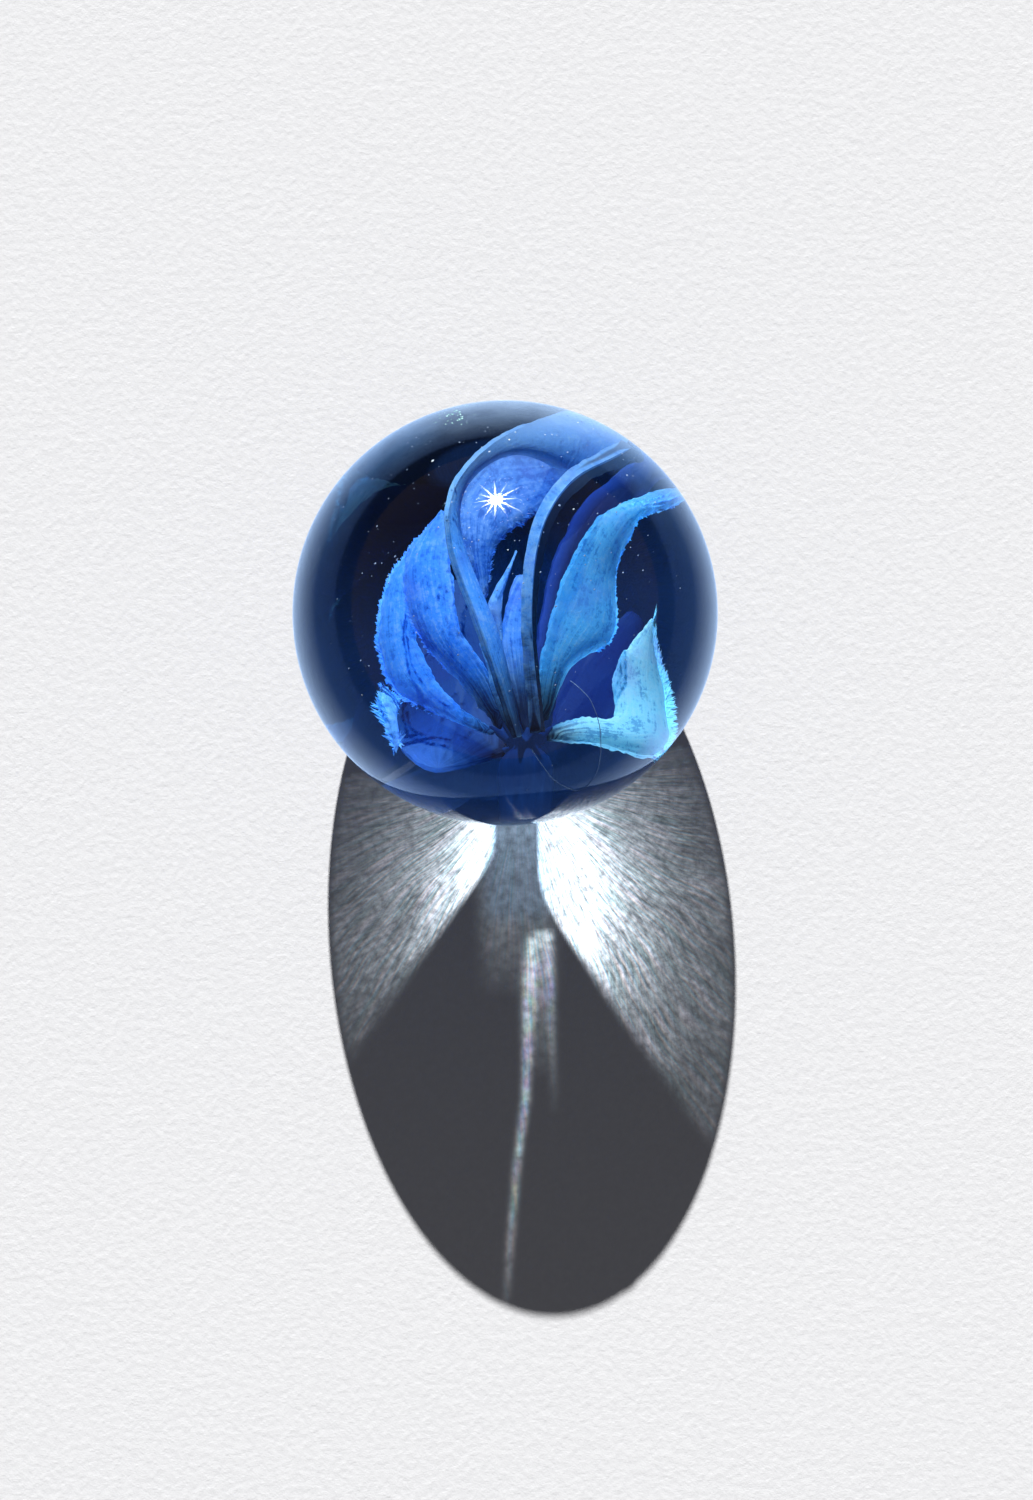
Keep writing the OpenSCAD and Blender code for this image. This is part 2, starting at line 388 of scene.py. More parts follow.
def bristles(bm, a, b, out, seed, length, count):
    """Fine splinters of glass that stand out of the rim and lean toward the leaf's tip."""
    clear_of_root = 0.33 * R
    thinnest, thickest, sunk = 0.00002, 0.00006, 0.00006
    rng = np.random.default_rng(seed)
    size = np.linalg.norm(b - a, axis=1)
    for k in rng.choice(len(a), count, p=size / size.sum()):
        p = a[k] + (b[k] - a[k]) * rng.uniform()
        if np.linalg.norm(p - np.array(ROOT)) < clear_of_root:
            continue
        run = (b[k] - a[k]) / size[k]
        if run @ (p - np.array(ROOT)) < 0:
            run = -run
        other = np.cross(out[k], run)
        wide = rng.uniform(thinnest, thickest)
        lean = out[k] * rng.uniform(0.3, 1.0) + run * rng.uniform(0.0, 1.3) + other * rng.uniform(-0.1, 0.1)
        tip = p + lean * length * rng.uniform(0.25, 1.0)
        p = p - out[k] * sunk
        rear = p - run * wide * 2
        foot = [bm.verts.new(q) for q in (p + run * wide * 2, rear + other * wide, rear - other * wide)]
        top = bm.verts.new(tip)
        bm.faces.new(foot[::-1])
        for i in range(3):
            bm.faces.new((foot[i], foot[(i + 1) % 3], top))


def leaf(name, node, mat, ragged, tip):
    """One leaf for the picture: the CAD leaf divided and made a little uneven, with a worn rim."""
    rim_width = 0.0004
    wave_height, ripple_height = 0.00007, 0.00002
    notch_depth, chip_depth = 0.00008, 0.00006 if ragged else 0.00002
    bm = welded(node)
    a, b, out = rim_edges(bm)
    mesh = refined(bm, 3)
    bm.free()
    smooth(mesh)
    if ragged:
        length, count, where = ragged
        keep = {"left": out[:, 0] < -0.2, "right": out[:, 0] > 0.3, "both": np.ones(len(out), bool)}[where]
        bm = bmesh.new()
        bm.from_mesh(mesh)
        bristles(bm, a[keep], b[keep], out[keep], len(name), length, count)
        bm.to_mesh(mesh)
        bm.free()
    co = points(mesh)
    away = to_edges(co, a, b)
    # a standing ribbon's first long edge is its upper one, and any other leaf's is its left one
    first = out @ np.array((0.3, -0.15, -0.94) if "ribbon" in name else (0.894, -0.447, 0)) < 0
    to_first, to_other = away[:, first].min(1), away[:, ~first].min(1)
    near = away.argmin(1)
    edge = np.clip(1 - away.min(1) / rim_width, 0, 1)
    for i, p in enumerate(co):
        v = Vector(p)
        wave = noise.noise(v * 620) * wave_height + noise.noise(v * 2200) * ripple_height
        if edge[i] > 0.3:
            depth = noise.noise(v * 1500) * notch_depth + noise.noise(v * 6000) * chip_depth
            co[i] += out[near[i]] * depth * edge[i]
        co[i, 2] += wave * 0.6
    if tip:
        sharpen(co, tip * R)
    mesh.vertices.foreach_set("co", co.ravel())
    mark(mesh, "edge", edge)
    mark(mesh, "across", to_first / np.maximum(to_first + to_other, 1e-9))
    mesh.materials.append(mat)
    slot = "navy_glass" if name in NAVY else "azure_glass"
    return add_piece(name + "_look", mesh, slot, name)


def tube(bm, path, radii, sides=16):
    """A round tube through points, closed at both ends."""
    rings = []
    for i, p in enumerate(path):
        on = (path[min(i + 1, len(path) - 1)] - path[max(i - 1, 0)]).normalized()
        a = on.orthogonal().normalized() if not rings else (a - on * a.dot(on)).normalized()
        b = on.cross(a)
        turns = [math.tau * k / sides for k in range(sides)]
        rings.append([bm.verts.new(p + (a * math.cos(q) + b * math.sin(q)) * radii[i]) for q in turns])
    for r0, r1 in zip(rings, rings[1:]):
        for k in range(sides):
            bm.faces.new((r0[k], r0[(k + 1) % sides], r1[(k + 1) % sides], r1[k]))
    bm.faces.new(rings[0][::-1])
    bm.faces.new(rings[-1])


def root_of(node):
    """The middle of the leaf's end that is nearest to the root."""
    places = (node.matrix_world @ v.co for v in node.data.vertices)
    near = sorted(places, key=lambda p: (p - ROOT).length)[:16]
    return sum(near, Vector()) / len(near)


def stem():
    """The dark stem, and the strands that the leaves were drawn out into where they meet it."""
    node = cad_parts["stem"]
    bm = welded(node)
    ends = sorted((node.matrix_world @ v.co for v in node.data.vertices), key=lambda p: p.y)
    tip = sum(ends[-8:], Vector()) / 8
    back = (sum(ends[:8], Vector()) / 8 - tip).normalized()
    for name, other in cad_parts.items():
        at = root_of(other)
        if name in ("stem", "glass_body", "side_sliver") or (at - ROOT).length > 0.24 * R:
            continue
        start, middle = tip + back * 0.09 * R, (tip * 2 + at) / 3 + back * 0.01 * R
        way = (at - middle).normalized()
        bend = [start, tip + back * 0.03 * R, middle, at, at + way * 0.03 * R]
        path, radii = [], []
        for k in range(len(bend) - 1):
            for q in range(6):
                u = q / 6
                path.append(bend[k].lerp(bend[k + 1], u))
                radii.append(R * (0.030 - 0.0062 * (k + u)))
        for _ in range(8):
            path = [path[0]] + [(a + b * 2 + c) / 4 for a, b, c in zip(path, path[1:], path[2:])] + [path[-1]]
        tube(bm, path, radii)
    mesh = bpy.data.meshes.new("stem")
    bm.to_mesh(mesh)
    bm.free()
    obj = bpy.data.objects.new("work", mesh)
    scene.collection.objects.link(obj)
    join = obj.modifiers.new("join", "REMESH")
    join.mode = "VOXEL"
    join.voxel_size = R * 0.007
    even = obj.modifiers.new("even", "SMOOTH")
    even.factor, even.iterations = 0.5, 6
    made = bpy.data.meshes.new_from_object(obj.evaluated_get(bpy.context.evaluated_depsgraph_get()))
    bpy.data.objects.remove(obj)
    smooth(made)
    made.materials.append(stem_glass())
    return add_piece("stem_look", made, "navy_glass", "stem")


def stem_glass():
    """Nearly black blue glass, with streaks along it."""
    m, t = material("stem_glass")
    where = t.add("ShaderNodeTexCoord").outputs["Object"]
    split = t.add("ShaderNodeSeparateXYZ")
    t.put(split, 0, where)
    long = t.add("ShaderNodeCombineXYZ")
    for k, scale in enumerate((3200, 300, 3200)):
        t.put(long, k, t.math("MULTIPLY", split.outputs[k], scale))
    streak = t.noise(long.outputs[0], 1.0, 4, 0.6)
    low_blue, mid_blue, high_blue = (0.004, 0.017, 0.075), (0.005, 0.024, 0.10), (0.009, 0.036, 0.14)
    colour = t.ramp(streak, (0.38, low_blue), (0.58, mid_blue), (0.72, high_blue))
    face = t.add("ShaderNodeBsdfPrincipled")
    t.put(face, "Base Color", colour)
    t.put(face, "Roughness", 0.8)
    t.put(face, "Specular IOR Level", 0.0)
    # a faint blue stands for light that wanders about inside the dark glass
    t.put(face, "Emission Color", (0.003, 0.013, 0.052, 1))
    t.put(face, "Emission Strength", 1.0)
    m.cycles.emission_sampling = "NONE"
    t.nt.links.new(face.outputs[0], t.out.inputs["Surface"])
    return m


# each leaf's colour, how much light comes through it, how strongly it is mottled,
# where the painted shade of its root starts and ends, and its treatment: "left" has a painted dark line of
# shade along that edge except at the back, "right" is painted dark with shade along that edge, "rim" is
# painted dark with shade and "glow" painted bright with a highlight all round, and "lifted" is paler toward
# the front
LOOK = {
    "outer_left_leaf": ((0.10, 0.50, 1.0), 0.45, 1.0, (0.09, 0.24), ""),
    "inner_left_leaf": ((0.075, 0.40, 0.95), 0.40, 1.1, (0.10, 0.27), ""),
    "slim_left_leaf": ((0.20, 0.55, 0.90), 0.35, 1.0, (0.06, 0.20), ""),
    "left_ribbon_leaf": ((0.10, 0.45, 1.0), 0.25, 0.8, (0.12, 0.33), "left"),
    "right_ribbon_leaf": ((0.11, 0.42, 1.0), 0.25, 0.8, (0.10, 0.28), "right"),
    "throat_leaf": ((0.075, 0.27, 0.68), 0.30, 1.5, (0.0, 0.1), "rim"),
    "spike_leaf": ((0.13, 0.45, 0.90), 0.30, 1.0, (0.14, 0.32), ""),
    "middle_leaf": ((0.10, 0.38, 0.85), 0.35, 1.0, (0.10, 0.27), ""),
    "big_right_leaf": ((0.16, 0.70, 1.0), 0.50, 1.0, (0.09, 0.23), ""),
    # this leaf's near black body also paints the shade it lies in
    "shaded_right_leaf": ((0.008, 0.032, 0.14), 0.45, 0.7, (0.10, 0.40), "glow"),
    "folded_right_leaf": ((0.40, 0.90, 1.0), 0.45, 1.3, (0.06, 0.18), ""),
    # this leaf's dark body also paints shade, as the shaded inner face of the folded leaf
    "rear_right_leaf": ((0.018, 0.065, 0.26), 0.45, 0.5, (0.05, 0.20), ""),
    # this leaf's dark body also paints the shade it lies in
    "lower_left_leaf": ((0.032, 0.115, 0.31), 0.45, 0.6, (0.10, 0.34), "lifted"),
    "side_sliver": ((0.16, 0.58, 0.95), 0.40, 1.3, (0.0, 0.1), ""),
}
# splinters on the rim: their length, how many, and on which side
RAGGED = {
    "outer_left_leaf": (0.00015, 900, "left"),
    "inner_left_leaf": (0.00010, 300, "left"),
    "big_right_leaf": (0.00009, 220, "right"),
    "folded_right_leaf": (0.00040, 2200, "right"),
    "side_sliver": (0.00042, 260, "both"),
    "throat_leaf": (0.00018, 260, "both"),
}
# how long the drawn-out points are, in ball radii
POINTED = {
    "outer_left_leaf": 0.12,
    "spike_leaf": 0.16,
    "folded_right_leaf": 0.16,
    "slim_left_leaf": 0.12,
    "side_sliver": 0.10,
}
shell()
for name, (body, through, mottle, dark, side) in LOOK.items():
    mat = leaf_glass(name + "_glass", body, through, mottle, dark, side)
    leaf(name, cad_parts[name], mat, RAGGED.get(name), POINTED.get(name))
stem()


# ------------------------------------------------------- dust on the glass
def on_ball(x, y, lift=1.0):
    """The point of the ball's upper side that lies over x, y, in ball radii."""
    return MID + Vector((x, y, math.sqrt(max(0.0, 1 - x * x - y * y)))) * R * lift


def flake(bm, at, size, turn):
    """A flat crumb of dust lying on the ball."""
    up = (at - MID).normalized()
    a = up.orthogonal().normalized()
    b = up.cross(a)
    ring = []
    for k in range(7):
        q = math.tau * k / 7 + turn
        far = size * (0.6 + 0.4 * noise.noise(at * 9000 + Vector((k, 0, 0))) + 0.2)
        ring.append(bm.verts.new(at + (a * math.cos(q) + b * math.sin(q) * 0.7) * far))
    top = bm.verts.new(at + up * size * 0.35)
    for k in range(7):
        bm.faces.new((ring[k], ring[(k + 1) % 7], top))
    bm.faces.new(ring[::-1])


def finish_bits(bm, name, mat):
    """Makes one piece of all the crumbs or fibres in bm."""
    mesh = bpy.data.meshes.new(name)
    bm.to_mesh(mesh)
    bm.free()
    mesh.materials.append(mat)
    return add_piece(name, mesh, "clear_glass")


def dust():
    """A few bright crumbs."""
    rng = np.random.default_rng(7)
    bm = bmesh.new()
    for x, y, size in (
        (-0.31, 0.63, 0.010), (0.04, 0.72, 0.008), (0.36, 0.83, 0.007), (0.43, 0.80, 0.006),
        (0.07, 0.76, 0.006), (-0.05, 0.66, 0.008), (-0.15, 0.29, 0.005), (0.32, 0.37, 0.007),
        (-0.22, 0.20, 0.004), (0.02, 0.18, 0.005), (-0.40, -0.17, 0.005), (0.70, 0.43, 0.006),
        (-0.05, 0.38, 0.005), (-0.66, -0.42, 0.005),
    ):
        flake(bm, on_ball(x, y), size * R, rng.uniform(0, 6))
    return finish_bits(bm, "dust", plain("dust", (0.35, 0.48, 0.62), (0.70, 0.82, 0.92), 9000))


def fine_dust():
    """Many crumbs that are hardly seen, thickest on the sunny side."""
    rng = np.random.default_rng(5)
    bm = bmesh.new()
    for _ in range(520):
        far, turn = math.sqrt(rng.uniform(0, 0.92)), rng.uniform(0, math.tau)
        x, y = far * math.cos(turn), far * math.sin(turn)
        if rng.uniform() < 0.45 + 0.5 * y:
            flake(bm, on_ball(x, y), 0.0024 * R / rng.uniform(0.3, 1.0), rng.uniform(0, 6))
    return finish_bits(bm, "fine_dust", plain("fine_dust", (0.10, 0.18, 0.36), (0.40, 0.55, 0.80), 7000))


def green_dust():
    """A patch of greenish crumbs near the sunny edge."""
    rng = np.random.default_rng(11)
    bm = bmesh.new()
    for _ in range(34):
        x, y = -0.21 + rng.normal(0, 0.045), 0.87 + rng.normal(0, 0.028)
        if x * x + y * y < 0.93:
            flake(bm, on_ball(x, y), rng.uniform(0.003, 0.009) * R, rng.uniform(0, 6))
    return finish_bits(bm, "green_dust", plain("green_dust", (0.25, 0.60, 0.55), (0.50, 0.80, 0.80), 9000))


def lint():
    """A lint fibre that lies in a loop on the ball."""
    marks = (
        (0.10, -0.69), (0.14, -0.75), (0.21, -0.83), (0.31, -0.865), (0.38, -0.82),
        (0.41, -0.75), (0.415, -0.62), (0.38, -0.50), (0.33, -0.44), (0.28, -0.40),
    )
    marks = [Vector((x, y, 0)) for x, y in marks]
    path = []
    for k in range(len(marks) - 1):
        p0, p1, p2, p3 = marks[max(k - 1, 0)], marks[k], marks[k + 1], marks[min(k + 2, len(marks) - 1)]
        for q in range(14):
            u = q / 14
            square = (p0 * 2 - p1 * 5 + p2 * 4 - p3) * u * u
            cube = (p1 * 3 - p0 - p2 * 3 + p3) * u**3
            v = p1 * 2 + (p2 - p0) * u + square + cube
            wave = 0.004 * noise.noise(Vector((k + u, 3.0, 0)) * 1.9)
            path.append(on_ball(v.x / 2 + wave, v.y / 2 - wave, 1.0015))
    bm = bmesh.new()
    tube(bm, path, [R * 0.0019] * len(path), 8)
    return finish_bits(bm, "lint", plain("lint", (0.12, 0.24, 0.50), (0.26, 0.44, 0.80), 5000))


dust()
fine_dust()
green_dust()
lint()


# -------------------------------------------------------------------- stage
def bent_light(x, y):
    """Sunlight that a clear ball bends onto the floor at x, y, as a share of straight sunlight there.

    A ray stays in the plane through the centre and the sun, so how far from the middle it entered
    is read from a list, worked out here, of where rays cross at that depth behind the ball."""
    floor = np.stack([x, y, np.full(len(x), -1.0)], 1)
    way = -np.array(TO_SUN)
    deep = floor @ way
    off = floor - deep[:, None] * way
    rho = np.linalg.norm(off, axis=1)
    side = off / np.maximum(rho, 1e-6)[:, None]
    b = np.linspace(0.001, 0.997, 1500)
    into, inside = np.arcsin(b), np.arcsin(b / IOR)
    turn = 2 * (into - inside)
    leave_s = -np.cos(into) + 2 * np.cos(inside) * np.cos(into - inside)
    leave_r = b - 2 * np.cos(inside) * np.sin(into - inside)
    at_b, grow = np.full(len(floor), -1.0), np.ones(len(floor))
    per_radius, most = 100, 299
    level = np.clip((deep - 1.0) * per_radius, 0, most).astype(int)
    for k in np.unique(level):
        mine = np.nonzero((level == k) & (deep > 1.02) & (rho < 1.0))[0]
        across = np.tan(turn) * (1.0 + (k + 0.5) / per_radius - leave_s) - leave_r
        good = np.nonzero((turn < 1.5) & (across > 0))[0]
        if len(mine) and len(good):
            at_b[mine] = np.interp(rho[mine], across[good], b[good], left=-1, right=-1)
            grow[mine] = np.interp(at_b[mine], b[good], np.gradient(across, b)[good])
    bb = np.clip(at_b, 0.001, 0.997)
    bend = 2 * (np.arcsin(bb) - np.arcsin(bb / IOR))
    down = np.cos(bend) * way[2] + np.sin(bend) * side[:, 2]
    share = bb / np.maximum(rho, 0.01) / np.maximum(grow, 0.02) / np.cos(bend)
    share = share * np.maximum(-down, 0) / -way[2] * np.clip((1 - rho) / 0.04, 0, 1)
    return np.where(at_b > 0, share, 0)


def ease(x):
    """Goes from 0 to 1 as x does, with a gentle start and end."""
    x = np.clip(x, 0, 1)
    return x * x * (3 - 2 * x)


def slant(at, start, slope):
    """Level up to start, then a straight slope, with the corner between them rounded off."""
    round_off = 0.05
    return slope * round_off * np.log1p(np.exp((at - start) / round_off))


def past_flower(x, y):
    """How much of the bent light gets past the flower: a lobe on each side of its dark wedge,
    and a pale neck."""
    down = -y
    # the wedge has two nearly straight sides, which start below the neck
    left = -0.08 - slant(down, 1.10, 0.78)
    right = 0.14 + slant(down, 1.30, 0.66)
    soft = 0.05 + 0.13 * ease(down - 1.1)
    lobes = ease((left - x + soft * 0.4) / soft) * 0.62 + ease((x - right + soft * 0.4) / (soft * 0.7)) * 0.72
    fade = np.exp(-((np.hypot(x - 0.2, down - 1.2) / 0.55) ** 2))
    lobes = lobes * np.where(x < 0, 0.62 + 0.50 * np.exp(-((x / 0.42) ** 2)), 0.64 + 0.36 * fade)
    neck = np.interp(down, (0.9, 1.1, 1.3, 1.48, 1.8), (0.26, 0.17, 0.13, 0.09, 0.0))
    neck = neck * ease((x - left + 0.05) / 0.09) * ease((right - x + 0.05) / 0.09)
    neck = neck * ease((0.24 - np.abs(x - 0.02)) / 0.14)
    return lobes, neck


def slits(x, y):
    """The thin bright lines in the wedge, where light gets between the two sides of the flower."""
    down = -y
    line = np.interp(down, (1.5, 1.9, 2.3, 2.6, 3.0, 3.3), (0.085, 0.06, 0.035, -0.015, -0.06, -0.09))
    wide = np.interp(down, (1.5, 1.7, 2.1, 2.6, 3.3), (0.020, 0.035, 0.022, 0.020, 0.022))
    power = np.interp(down, (1.47, 1.53, 1.9, 2.5, 3.0, 3.35), (0, 0.62, 0.42, 0.30, 0.13, 0.0))
    first = power * np.exp(-(((x - line) / wide) ** 2))
    power = np.interp(down, (1.46, 1.51, 1.7, 2.0, 2.4), (0, 0.34, 0.22, 0.08, 0))
    second = power * np.exp(-(((x - 0.175) / 0.022) ** 2))
    between = np.interp(down, (1.46, 1.50, 1.58, 1.9, 2.2), (0, 0.58, 0.24, 0.09, 0))
    between = between * ease((x - line) / 0.03) * ease((0.2 - x) / 0.04)
    return first + second + between


def paper_floor():
    """The paper, with a fine grid where the ball throws light on it."""
    lit_left, lit_right, lit_front, lit_back, reach = -1.2, 1.45, -3.5, -0.55, 400.0
    nx, ny = ((260, 290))
    xs = np.linspace(lit_left, lit_right, nx)
    ys = np.linspace(lit_front, lit_back, ny)
    gx, gy = (a.ravel() for a in np.meshgrid(xs, ys))
    lobes, neck = past_flower(gx, gy)
    free = np.minimum(bent_light(gx, gy), 3.0)
    bent = np.minimum(free * lobes, 1.15)
    smooth_part = neck + slits(gx, gy)
    columns = np.concatenate([[-reach], xs, [reach]])
    rows = np.concatenate([[-reach], ys, [reach]])
    verts = [(MID.x + x * R, MID.y + y * R, low.z) for y in rows for x in columns]
    w = len(columns)
    faces = [
        (j * w + i, j * w + i + 1, (j + 1) * w + i + 1, (j + 1) * w + i)
        for j in range(len(rows) - 1)
        for i in range(w - 1)
    ]
    mesh = bpy.data.meshes.new("paper_floor")
    mesh.from_pydata(verts, [], faces)
    for name, part in (("bent", bent), ("slit", smooth_part)):
        value = np.zeros((len(rows), w), np.float32)
        value[1:-1, 1:-1] = part.reshape(ny, nx)
        value[:, 1] = value[:, -2] = value[1] = value[-2] = 0
        mesh.attributes.new(name, "FLOAT", "POINT").data.foreach_set("value", value.ravel())
    obj = bpy.data.objects.new("paper_floor", mesh)
    scene.collection.objects.link(obj)
    mesh.materials.append(paper())
    return obj


def streaks(t, where):
    """Fine lines that fan out from the bright point, from scratches in the glass, and the lists of
    noise that give them weave and rainbow edges."""
    at = t.vmath("SUBTRACT", where, (MID.x + 0.06 * R, MID.y - 0.72 * R, low.z))
    split = t.add("ShaderNodeSeparateXYZ")
    t.put(split, 0, at)
    angle = t.math("ARCTAN2", split.outputs[0], split.outputs[1])
    far = t.math("DIVIDE", t.vmath("LENGTH", at), R)
    warp = t.math("MULTIPLY", t.math("SUBTRACT", t.noise(where, 110, 2), 0.5), 0.12)

    def family(dense, curl, along, seed, shift=0.0):
        spin = t.math("ADD", t.math("ADD", angle, t.math("MULTIPLY", far, curl)), t.math("ADD", warp, shift))
        mix = t.add("ShaderNodeCombineXYZ")
        t.put(mix, 0, t.math("MULTIPLY", spin, dense))
        t.put(mix, 1, t.math("MULTIPLY", far, along))
        t.put(mix, 2, seed)
        return t.noise(mix.outputs[0], 1.0, 3, 0.6)

    crossing = [family(34, 0.25, 1.6, 0.0), family(60, -0.30, 3.0, 5.0)]
    fringe = [family(80, 0.05, 3.2, 9.0, k * 0.0035) for k in (-1, 0, 1)]
    return crossing, fringe


def paper():
    """Grained paper, with the light that the ball throws on it as emission."""
    m, t = material("paper")
    where = t.add("ShaderNodeTexCoord").outputs["Object"]
    path = t.add("ShaderNodeLightPath")
    away = t.vmath("LENGTH", where)
    first = t.math("LESS_THAN", path.outputs["Diffuse Depth"], 0.5)
    mirrored = t.math("MULTIPLY", path.outputs["Is Reflection Ray"], first)
    grain = t.noise(where, 2300, 5, 0.65)
    colour = t.ramp(grain, (0.3, (0.815, 0.815, 0.825)), (0.7, (0.865, 0.865, 0.872)))
    # painted reflection: in the ball's reflection the sheet is painted bluer and ends a few ball widths away,
    # with painted dark beyond it
    span = t.math("DIVIDE", away, 10.0 * R)
    near_sheet, far_sheet = (0.62, 0.88, 1.30), (0.12, 0.24, 0.54)
    last_sheet, mirrored_dark = (0.12, 0.22, 0.50), (0.035, 0.065, 0.12)
    sheet = t.ramp(span, (0.20, near_sheet), (0.33, far_sheet), (0.70, last_sheet), (0.80, mirrored_dark))
    # painted shade: through the ball it is painted dim and blue, standing for scattered light and the glass's
    # own colour
    through = t.math("MULTIPLY", path.outputs["Is Transmission Ray"], first)
    face = t.add("ShaderNodeBsdfDiffuse")
    place = t.add("ShaderNodeSeparateXYZ")
    t.put(place, 0, where)
    # outside the ellipse of the ball's own shadow the floor is sunlit
    sidewise = t.math("DIVIDE", t.math("ADD", place.outputs[0], TO_SUN.x / TO_SUN.z * R), R)
    lengthwise = t.math("DIVIDE", t.math("ADD", place.outputs[1], TO_SUN.y / TO_SUN.z * R), R / TO_SUN.z)
    round_it = t.math("MULTIPLY", sidewise, sidewise)
    round_it = t.math("ADD", round_it, t.math("MULTIPLY", lengthwise, lengthwise))
    outside = t.span(round_it, 0.84, 0.99)
    # painted shade: seen through the ball, the floor in the ball's shadow is painted blue and the sunlit
    # floor outside it nearly black
    dim = t.blend(outside, (0.22, 0.46, 0.66), (0.003, 0.013, 0.045))
    t.put(face, "Color", t.blend(through, t.blend(mirrored, colour, sheet), dim))
    bump = t.add("ShaderNodeBump")
    t.put(bump, "Height", grain)
    t.put(bump, "Strength", 0.5)
    t.put(bump, "Distance", 0.0001)
    t.nt.links.new(bump.outputs[0], face.inputs["Normal"])
    bent = t.add("ShaderNodeAttribute", attribute_name="bent").outputs["Fac"]
    slit = t.add("ShaderNodeAttribute", attribute_name="slit").outputs["Fac"]
    (a, b), fringe = streaks(t, where)
    weave = t.math("ADD", t.span(a, 0.35, 0.65, 0.15, 0.95), t.span(b, 0.35, 0.65, 0.0, 0.75))
    weave = t.math("ADD", weave, t.span(fringe[1], 0.3, 0.7, 0.0, 0.8))
    crumbs = t.span(t.noise(where, 2300, 4, 0.7), 0.3, 0.7, 0.45, 1.5)
    patch = t.span(t.noise(where, 330, 3, 0.55), 0.3, 0.7, 0.75, 1.2)
    weave = t.math("MULTIPLY", weave, t.math("MULTIPLY", crumbs, patch))
    power = t.math("MULTIPLY", bent, weave)
    speckle = t.span(t.noise(where, 1900, 3, 0.6), 0.3, 0.7, 0.5, 1.4)
    power = t.math("ADD", power, t.math("MULTIPLY", slit, speckle))
    # rainbow edges, strongest where the light is thin
    tint = t.add("ShaderNodeCombineXYZ")
    in_slit = t.math("MULTIPLY", t.span(place.outputs[1], -1.45 * R, -1.75 * R), 0.85)
    thin_light = t.math("MULTIPLY", t.span(slit, 0.02, 0.25), in_slit)
    in_neck = t.math("MULTIPLY", t.span(slit, 0.02, 0.12), t.span(place.outputs[1], -1.46 * R, -1.38 * R))
    ranges = zip(fringe, (0.52, 0.80, 0.84), (1.16, 1.12, 1.30), (3.0, 11.0, 19.0))
    for i, (n, least, most, spot) in enumerate(ranges):
        hue = t.span(t.noise(t.vmath("ADD", where, (spot, 0, 0)), 700, 2, 0.5), 0.35, 0.65, 0.72, 1.22)
        one = t.math("ADD", t.math("MULTIPLY", hue, thin_light), t.math("SUBTRACT", 1.0, thin_light))
        cool = t.math("ADD", 1.0, t.math("MULTIPLY", in_neck, (-0.22, 0.0, 0.22)[i]))
        one = t.math("MULTIPLY", one, cool)
        t.put(tint, i, t.math("MULTIPLY", t.span(n, 0.34, 0.66, least, most), one))
    glow = t.add("ShaderNodeEmission")
    t.put(glow, "Color", tint.outputs[0])
    # through the ball the bright patches are much fainter
    shown = t.math("MULTIPLY", first, t.span(path.outputs["Is Transmission Ray"], 0.0, 1.0, 1.0, 0.03))
    t.put(glow, "Strength", t.math("MULTIPLY", power, shown))
    both = t.add("ShaderNodeAddShader")
    t.nt.links.new(face.outputs[0], both.inputs[0])
    t.nt.links.new(glow.outputs[0], both.inputs[1])
    t.nt.links.new(both.outputs[0], t.out.inputs["Surface"])
    m.cycles.emission_sampling = "NONE"
    return m


def sunlight():
    lamp = bpy.data.lights.new("sun", "SUN")
    lamp.energy = SUN_STRENGTH
    lamp.angle = SUN_WIDTH
    lamp.cycles.use_multiple_importance_sampling = False
    obj = bpy.data.objects.new("sun", lamp)
    scene.collection.objects.link(obj)
    obj.rotation_euler = TO_SUN.to_track_quat("Z", "Y").to_euler()


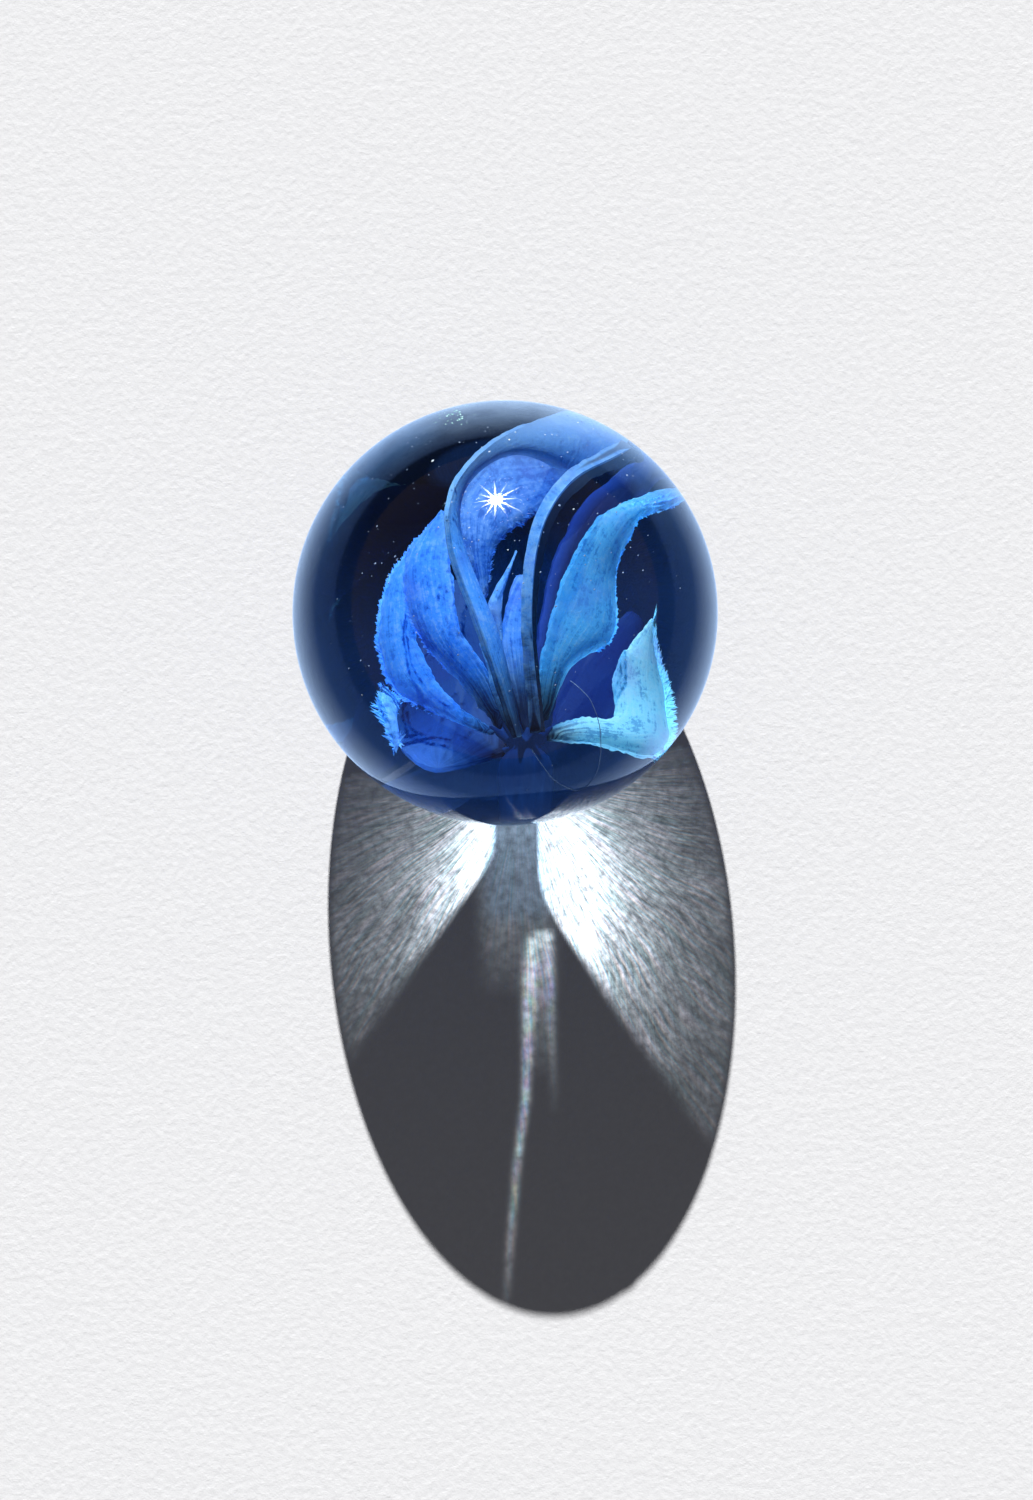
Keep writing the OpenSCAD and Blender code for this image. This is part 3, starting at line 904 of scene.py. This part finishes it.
def sky():
    """White behind the part. As light it is dim and dark overhead, and in the ball's reflection it
    shows the sun as a star."""
    world = bpy.data.worlds.new("sky")
    scene.world = world
    t = Tree(world)
    out = t.add("ShaderNodeOutputWorld")
    way = t.add("ShaderNodeTexCoord").outputs["Generated"]
    up = t.vmath("DOT_PRODUCT", way, (0, 0, 1))
    skyline, middle = (0.15, 0.142, 0.13), (0.11, 0.104, 0.092)
    high_up, overhead = (0.012, 0.02, 0.05), (0.002, 0.008, 0.035)
    dome = t.ramp(up, (0.0, skyline), (0.60, middle), (0.85, high_up), (1.0, overhead))
    # the star: a small core with thin rays about the way to the sun
    ax = Vector((1, 0, 0))
    ax = (ax - TO_SUN * ax.dot(TO_SUN)).normalized()
    ay = TO_SUN.cross(ax)
    u = t.vmath("DOT_PRODUCT", way, tuple(ax))
    v = t.vmath("DOT_PRODUCT", way, tuple(ay))
    front = t.math("GREATER_THAN", t.vmath("DOT_PRODUCT", way, tuple(TO_SUN)), 0.0)
    away = t.math("SQRT", t.math("ADD", t.math("MULTIPLY", u, u), t.math("MULTIPLY", v, v)))
    lump = t.noise(way, 26, 3, 0.6)
    core = t.math("ADD", away, t.math("MULTIPLY", t.math("SUBTRACT", lump, 0.5), 0.05))
    star = t.math("MULTIPLY", t.span(core, 0.010, 0.052, 1.0, 0.0), 60.0)
    glow = t.span(away, 0.0, 0.36, 1.0, 0.0)
    star = t.math("ADD", star, t.math("MULTIPLY", t.math("POWER", glow, 4.0), 2.5))
    spark = t.span(t.noise(way, 75, 2, 0.5), 0.66, 0.74, 0.0, 60.0)
    star = t.math("ADD", star, t.math("MULTIPLY", spark, t.math("POWER", glow, 1.5)))
    # each ray's turn in degrees, how far it reaches and how bright it is
    for turn, far, power in (
        (6, 0.20, 110), (38, 0.27, 130), (64, 0.22, 90), (92, 0.25, 120),
        (121, 0.26, 100), (146, 0.19, 100), (179, 0.21, 90), (207, 0.18, 100),
        (238, 0.25, 100), (264, 0.23, 110), (297, 0.22, 110), (329, 0.27, 120),
    ):
        c, s = math.cos(math.radians(turn)), math.sin(math.radians(turn))
        along = t.math("ADD", t.math("MULTIPLY", u, c), t.math("MULTIPLY", v, s))
        across = t.math("ABSOLUTE", t.math("ADD", t.math("MULTIPLY", u, -s), t.math("MULTIPLY", v, c)))
        fall = t.math("MULTIPLY", t.span(along, 0.0, far, 1.0, 0.0), t.math("GREATER_THAN", along, 0.0))
        # the ray narrows toward its tip
        half_width = t.math("ADD", t.math("MULTIPLY", fall, 0.012), 0.003)
        thin = t.math("SUBTRACT", 1.0, t.math("DIVIDE", across, half_width))
        thin = t.math("MAXIMUM", thin, 0.0)
        ray = t.math("MULTIPLY", t.math("POWER", fall, 1.8), thin)
        star = t.math("ADD", star, t.math("MULTIPLY", ray, power))
    star = t.math("MULTIPLY", star, front)
    path = t.add("ShaderNodeLightPath")
    first = t.math("LESS_THAN", path.outputs["Diffuse Depth"], 0.5)
    # seen through the ball, the sky takes on the glass's blue
    through = t.math("MULTIPLY", path.outputs["Is Transmission Ray"], first)
    sky_light = t.add("ShaderNodeBackground")
    t.put(sky_light, "Color", t.blend(through, dome, t.vmath("MULTIPLY", dome, (0.42, 0.72, 1.35))))
    glint = t.add("ShaderNodeBackground")
    t.put(glint, "Color", (1, 1, 1, 1))
    shown = t.math("MULTIPLY", path.outputs["Is Reflection Ray"], first)
    t.put(glint, "Strength", t.math("MULTIPLY", star, shown))
    dark = t.add("ShaderNodeAddShader")
    t.nt.links.new(sky_light.outputs[0], dark.inputs[0])
    t.nt.links.new(glint.outputs[0], dark.inputs[1])
    white = t.add("ShaderNodeBackground")
    t.put(white, "Color", (0.93, 0.93, 0.95, 1))
    t.nt.links.new(t.mix(path.outputs["Is Camera Ray"], dark.outputs[0], white.outputs[0]), out.inputs[0])


def camera():
    """The photograph's angle: almost straight down, from a little toward the front."""
    lens = bpy.data.cameras.new("camera")
    lens.sensor_fit = "VERTICAL"
    lens.sensor_height = 36
    lens.lens = 93.2
    lens.clip_start = 0.001
    obj = bpy.data.objects.new("camera", lens)
    scene.collection.objects.link(obj)
    from_ball = Vector((0, -1.917, 18.195)) * R
    looking = Vector((0.00194, 0.06969, -0.99757))
    obj.location = MID + from_ball
    obj.rotation_euler = looking.to_track_quat("-Z", "Y").to_euler()
    scene.camera = obj


paper_floor()
sunlight()
sky()
camera()
